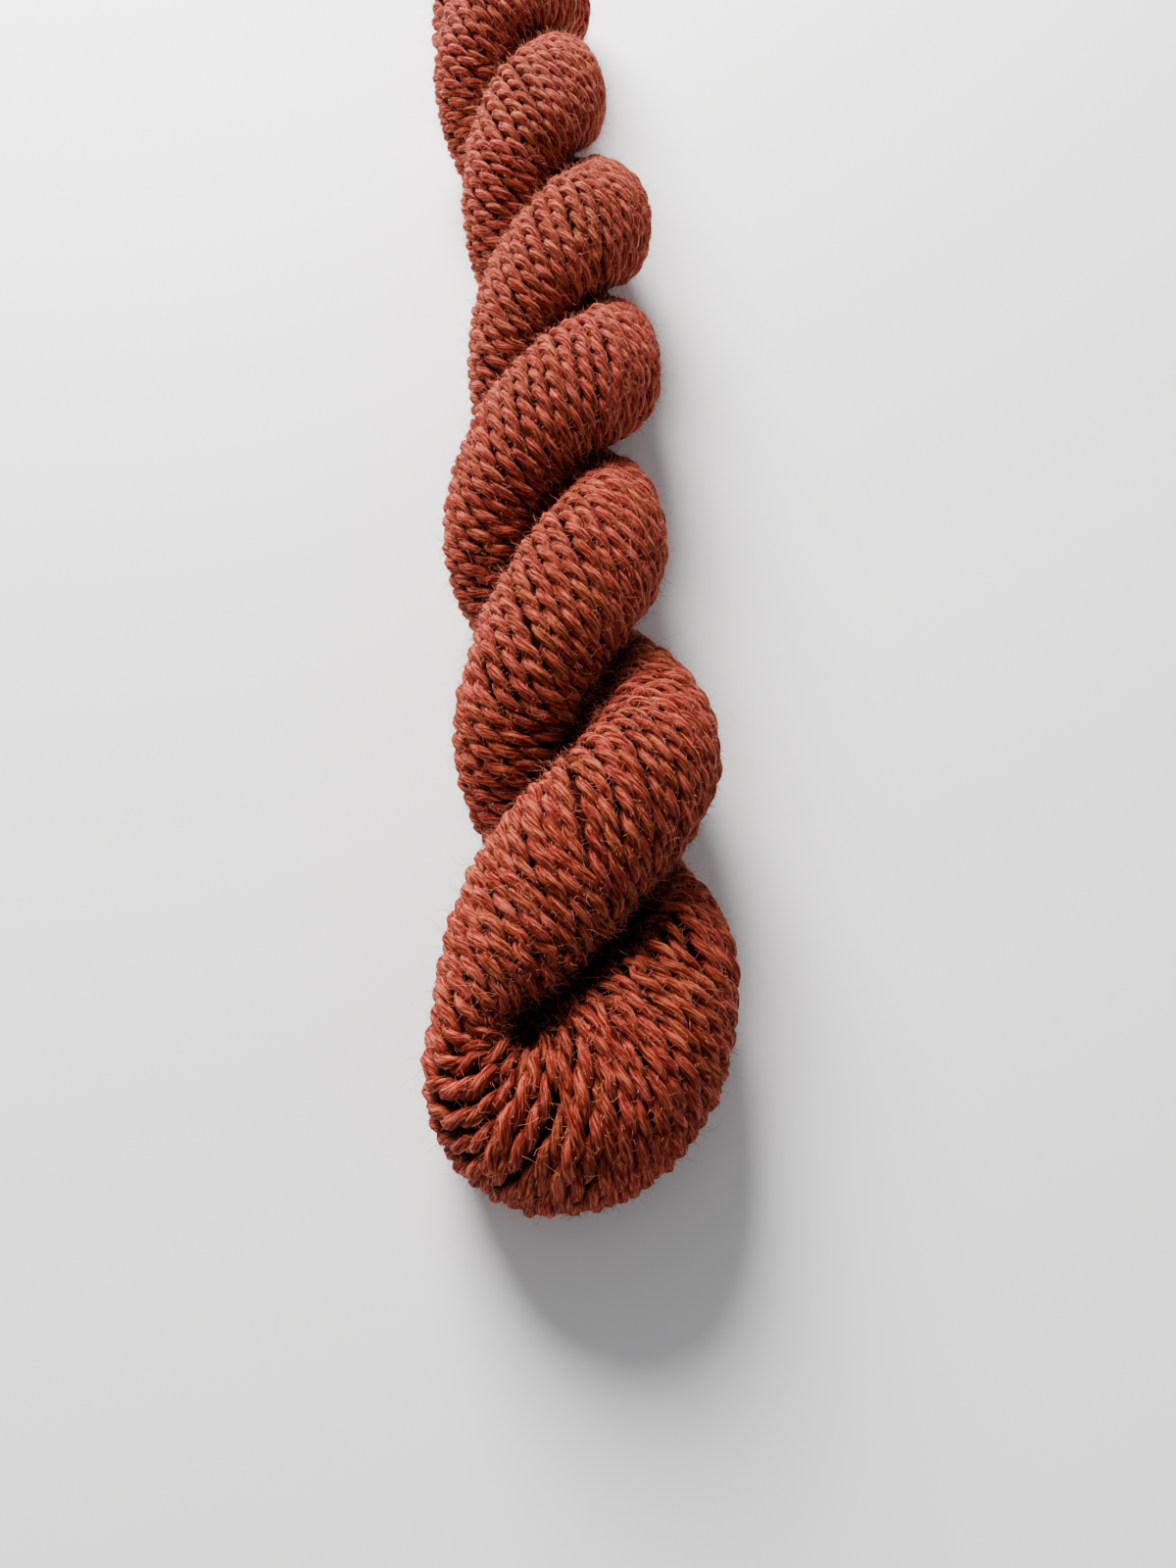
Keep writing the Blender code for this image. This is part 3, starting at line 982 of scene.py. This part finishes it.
def spikesToPiece(kind, roots, tips, shade, material):
    # straight fibres are slim three-sided spikes
    along = unit(tips - roots)
    helper = np.where(np.abs(along[:, 2:3]) < 0.8, [[0.0, 0.0, 1.0]], [[1.0, 0.0, 0.0]])
    first = unit(np.cross(along, helper))
    second = np.cross(along, first)
    corners = [roots + kind["radius"] * (math.cos(turn) * first + math.sin(turn) * second)
               for turn in (0, 2 * math.pi / 3, 4 * math.pi / 3)]
    points = np.stack(corners + [tips], axis=1).reshape(-1, 3)
    faces = np.array([(0, 1, 3), (1, 2, 3), (2, 0, 3), (2, 1, 0)])
    faces = (4 * np.arange(len(roots))[:, None, None] + faces).reshape(-1, 3)
    mesh = bpy.data.meshes.new(kind["name"])
    mesh.from_pydata(points.tolist(), [], faces.tolist())
    mesh.shade_smooth()
    addLayer(mesh, "shade", np.repeat(shade, 4))
    mesh.materials.append(material)
    return addObject(kind["name"], mesh)


def growFibres(kind, material, tree):
    chance = np.random.default_rng(kind["seed"])
    count, joints, free = kind["count"], kind["joints"], fuzz["endsFree"]
    spots = np.concatenate([np.arange(a + free, b - free) for a, b in runs if b - a > 3 * free])
    seen = yarnOpen[spots]
    onTop = yarnSinks[spots] < yarn["sink"] + fuzz["sunkDepth"]
    odds = np.where(onTop, 1.0, fuzz["sunkChance"])
    inCrease = np.exp(-((seen - fuzz["creaseOpen"]) / fuzz["creaseSpread"]) ** 2)
    odds *= np.minimum(seen * 3, 1) + kind["creases"] * inCrease
    picked = chance.choice(spots, count, p=odds / odds.sum())
    side = chance.uniform(-fuzz["aside"], fuzz["aside"], count)[:, None]
    outward = np.cos(side) * yarnNormals[picked] + np.sin(side) * yarnSides[picked]
    place = yarnPoints[picked] + outward * yarn["thick"] * fuzz["rootDepth"]
    heading = unit(outward * kind["outward"] * chance.uniform(*fuzz["stand"], (count, 1))
                   + yarnTangents[picked] * chance.choice([-1, 1], (count, 1)) * fuzz["lengthwise"]
                   + chance.normal(0, fuzz["scatter"], (count, 3)))
    length = chance.exponential(kind["mean"], count) + fuzz["least"]
    length = np.clip(length, 0, kind["most"])[:, None]
    bend = unit(chance.normal(0, 1, (count, 3)))
    trail = [place]
    for _ in range(joints):
        heading = unit(heading + fuzz["curl"] * np.cross(heading, bend)
                       + chance.normal(0, fuzz["wiggle"], (count, 3)))
        place = place + heading * length / joints
        place[:, 2] = np.maximum(place[:, 2], fuzz["lowest"])
        trail.append(place)
    shade = chance.uniform(0, 1, count)
    if joints == 1:
        return joinHank(spikesToPiece(kind, *trail, shade, material))
    points = np.stack(trail, axis=1).reshape(-1, 3)
    starts = np.arange(count) * (joints + 1)
    taper = np.linspace(1.0, fuzz["tipRadius"], joints + 1)
    layers = {"thickness": np.tile(kind["radius"] * taper, count),
              "shade": np.repeat(shade, joints + 1)}
    return joinHank(pathsToPiece(kind["name"], points, starts, layers, tree, material))


looseWool = looseWoolMaterial()
fibreTree = spinningTree("spinFibre", fuzz["sides"])
for kind in fuzz["kinds"]:
    triangles += growFibres(kind, looseWool, fibreTree)
print("all pieces", triangles, "triangles")

studio = {
    "floorSize": 20.0,
    "floorColour": (0.93, 0.93, 0.92),
    "floorRoughness": 0.7,
    "airColour": (0.80, 0.82, 0.85),
    "airStrength": 0.44,
    "keyPlace": (-0.30, 0.72, 0.58),       # the light hangs beyond the far end, to the left
    "keySize": 0.60,
    "keyPower": 44.5,
    "keyColour": (1.0, 0.985, 0.96),
}


def layFloor():
    mesh = bmesh.new()
    bmesh.ops.create_grid(mesh, x_segments=1, y_segments=1, size=studio["floorSize"] / 2)
    data = bpy.data.meshes.new("floor")
    mesh.to_mesh(data)
    mesh.free()
    material = bpy.data.materials.new("paleFloor")
    material.use_nodes = True
    shader = material.node_tree.nodes["Principled BSDF"]
    shader.inputs["Base Color"].default_value = studio["floorColour"] + (1.0,)
    shader.inputs["Roughness"].default_value = studio["floorRoughness"]
    data.materials.append(material)
    floor = addObject("floor", data)


def hangLights():
    world = bpy.data.worlds.new("studioAir")
    world.use_nodes = True
    air = world.node_tree.nodes["Background"]
    air.inputs["Color"].default_value = studio["airColour"] + (1.0,)
    air.inputs["Strength"].default_value = studio["airStrength"]
    bpy.context.scene.world = world
    lamp = bpy.data.lights.new("keyLight", 'AREA')
    lamp.shape = 'DISK'
    lamp.size = studio["keySize"]
    lamp.energy = studio["keyPower"]
    lamp.color = studio["keyColour"]
    light = addObject("keyLight", lamp)
    light.location = studio["keyPlace"]
    light.rotation_euler = (-light.location).to_track_quat('-Z', 'Y').to_euler()


view = {
    "lens": 27.0,
    "sensor": 36.0,            # height
    "picture": (1200, 1600),
    "place": (0.0100, -0.2242, 0.243),
    "tilt": 26.7,              # degrees from straight down
    "clipStart": 0.01,
}


def placeCamera():
    width, height = view["picture"]
    data = bpy.data.cameras.new("camera")
    data.sensor_fit = 'VERTICAL'
    data.sensor_height = view["sensor"]
    data.sensor_width = view["sensor"] * width / height
    data.lens = view["lens"]
    data.clip_start = view["clipStart"]
    camera = addObject("camera", data)
    camera.location = view["place"]
    camera.rotation_euler = (math.radians(view["tilt"]), 0, 0)
    bpy.context.scene.camera = camera


layFloor()
hangLights()
placeCamera()
print("studio ready")
